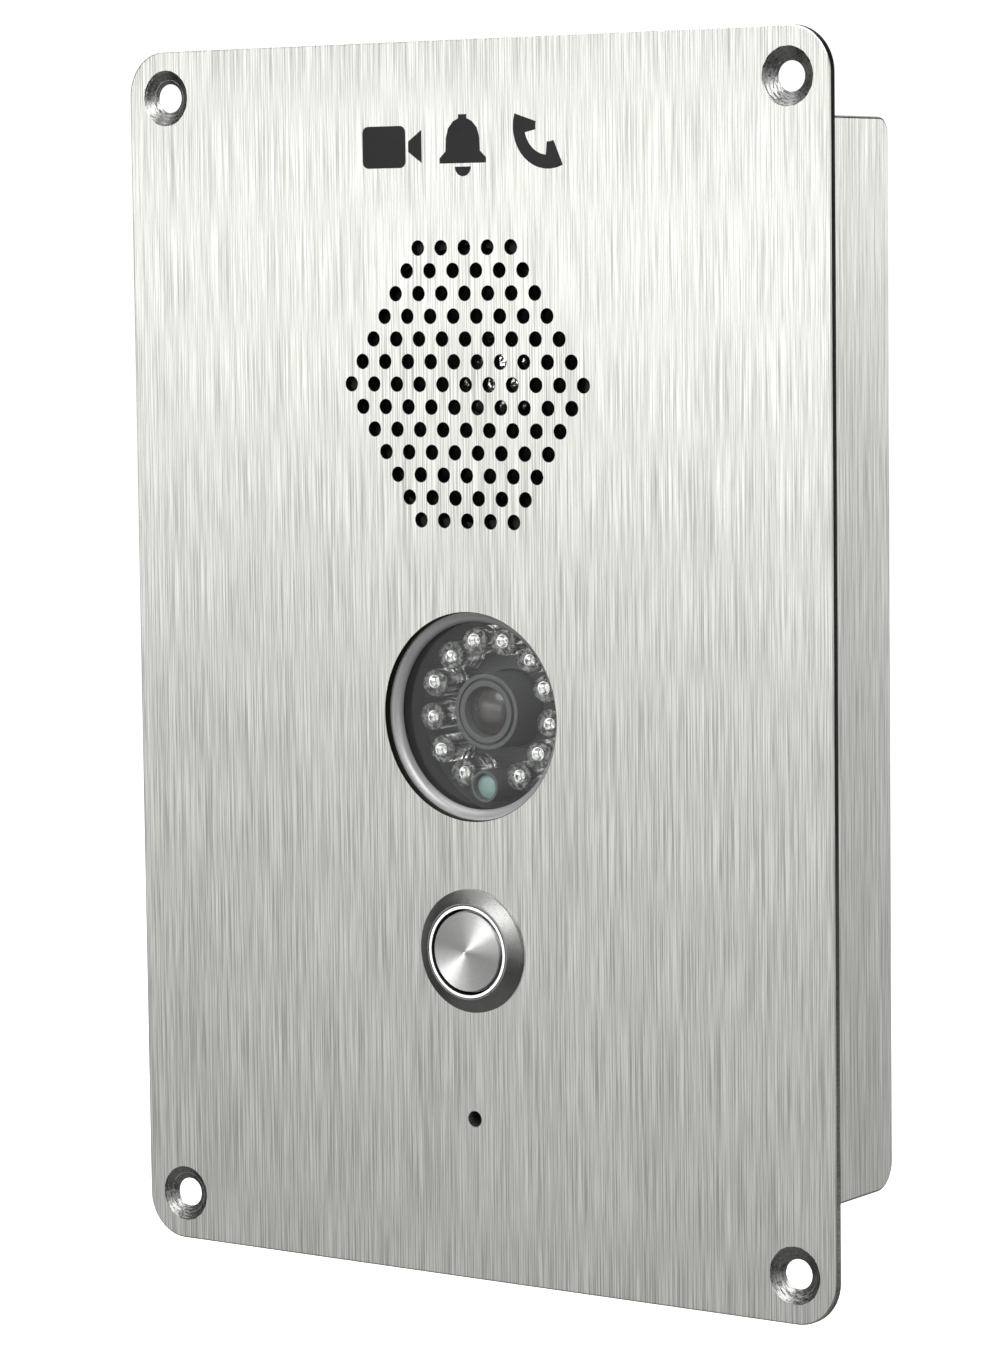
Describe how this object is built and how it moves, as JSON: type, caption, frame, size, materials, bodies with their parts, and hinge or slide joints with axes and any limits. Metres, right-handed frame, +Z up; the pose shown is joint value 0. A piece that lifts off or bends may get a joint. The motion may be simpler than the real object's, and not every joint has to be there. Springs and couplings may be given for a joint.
{
  "type": "door intercom panel",
  "caption": "Flush door station: steel plate with a hexagonal speaker grille, round camera window with an infrared ring, lit push button and microphone hole, on a shallow sheet-steel box.",
  "frame": {"origin": "centre of the four fixing holes, on the plate's wall-side face", "axes": "+X to the right of a visitor who faces the panel, +Y into the wall, +Z up"},
  "size_m": [0.15, 0.0514, 0.22],
  "materials": {
    "brushed_steel": "fine vertical brushing, satin",
    "satin_steel": "turned and bead-blasted, satin",
    "spun_steel": "circular brushing",
    "zinc_steel": "zinc plated, dull",
    "black_rubber": "matt",
    "window_ring_grey": "smooth semi-gloss",
    "clear_window": "clear, polished",
    "clear_epoxy": "clear, moulded",
    "black_plastic": "fine moulded texture",
    "dark_board": "printed circuit board, dark solder mask",
    "green_board": "printed circuit board, green solder mask",
    "sensor_face": "smooth",
    "lens_grey": "anodised look, satin",
    "lens_glass": "coated",
    "white_diffuser": "translucent white",
    "cone_paper": "pressed, matt",
    "polished_cap": "bright",
    "ferrite": "sintered, matt",
    "copper": "enamelled winding",
    "blue_plastic": "moulded",
    "green_plastic": "moulded",
    "lead_jacket": "extruded, satin"
  },
  "bodies": {
    "chassis": {"front_plate": "brushed_steel", "back_box": "brushed_steel", "panel_gasket": "black_rubber", "bracket_top": "zinc_steel", "bracket_bottom": "zinc_steel", "cable_grommet": "black_rubber", "speaker_gasket": "black_rubber", "speaker_frame": "zinc_steel", "speaker_surround": "black_rubber", "speaker_pole_washer": "zinc_steel", "speaker_magnet": "ferrite", "speaker_yoke": "zinc_steel", "speaker_clamp_ring": "zinc_steel", "window_ring": "window_ring_grey", "camera_window": "clear_window", "camera_housing": "black_plastic", "led_board": "dark_board", "light_sensor": "sensor_face", "light_sensor_tube": "black_rubber", "lens_barrel": "lens_grey", "lens_glass": "lens_glass", "image_sensor_board": "green_board", "button_body": "satin_steel", "button_seal": "black_rubber", "button_light_ring": "white_diffuser", "button_spring": "zinc_steel", "button_nut": "satin_steel", "button_switch_block": "black_plastic", "microphone_boot": "black_rubber", "microphone_capsule": "zinc_steel", "main_board": "green_board", "relay": "blue_plastic", "line_transformer": "black_plastic", "terminal_block": "green_plastic", "speaker_lead": "lead_jacket", "camera_lead": "lead_jacket", "button_lead": "lead_jacket", "microphone_lead": "lead_jacket", "ir_led_01": "clear_epoxy", "ir_led_02": "clear_epoxy", "ir_led_03": "clear_epoxy", "ir_led_04": "clear_epoxy", "ir_led_05": "clear_epoxy", "ir_led_06": "clear_epoxy", "ir_led_07": "clear_epoxy", "ir_led_08": "clear_epoxy", "ir_led_09": "clear_epoxy", "ir_led_10": "clear_epoxy", "ir_led_11": "clear_epoxy", "ir_led_12": "clear_epoxy", "box_screw_1": "satin_steel", "box_screw_2": "satin_steel", "box_screw_3": "satin_steel", "box_screw_4": "satin_steel"},
    "call_button": {"button_cap": "spun_steel", "button_clip": "zinc_steel"},
    "speaker_diaphragm": {"speaker_cone": "cone_paper", "speaker_dust_cap": "polished_cap", "voice_coil": "copper"}
  },
  "joints": [
    {"name": "button_press", "type": "slide", "parent": "chassis", "child": "call_button", "axis": [0, 1, 0], "range_m": [0, 0.002], "stiffness_N_per_m": 1200, "springref_m": -0.0015, "deforming": ["button_spring"]},
    {"name": "cone_travel", "type": "slide", "parent": "chassis", "child": "speaker_diaphragm", "axis": [0, 1, 0], "range_m": [-0.0005, 0.0005], "stiffness_N_per_m": 1500, "deforming": ["speaker_surround"]}
  ]
}
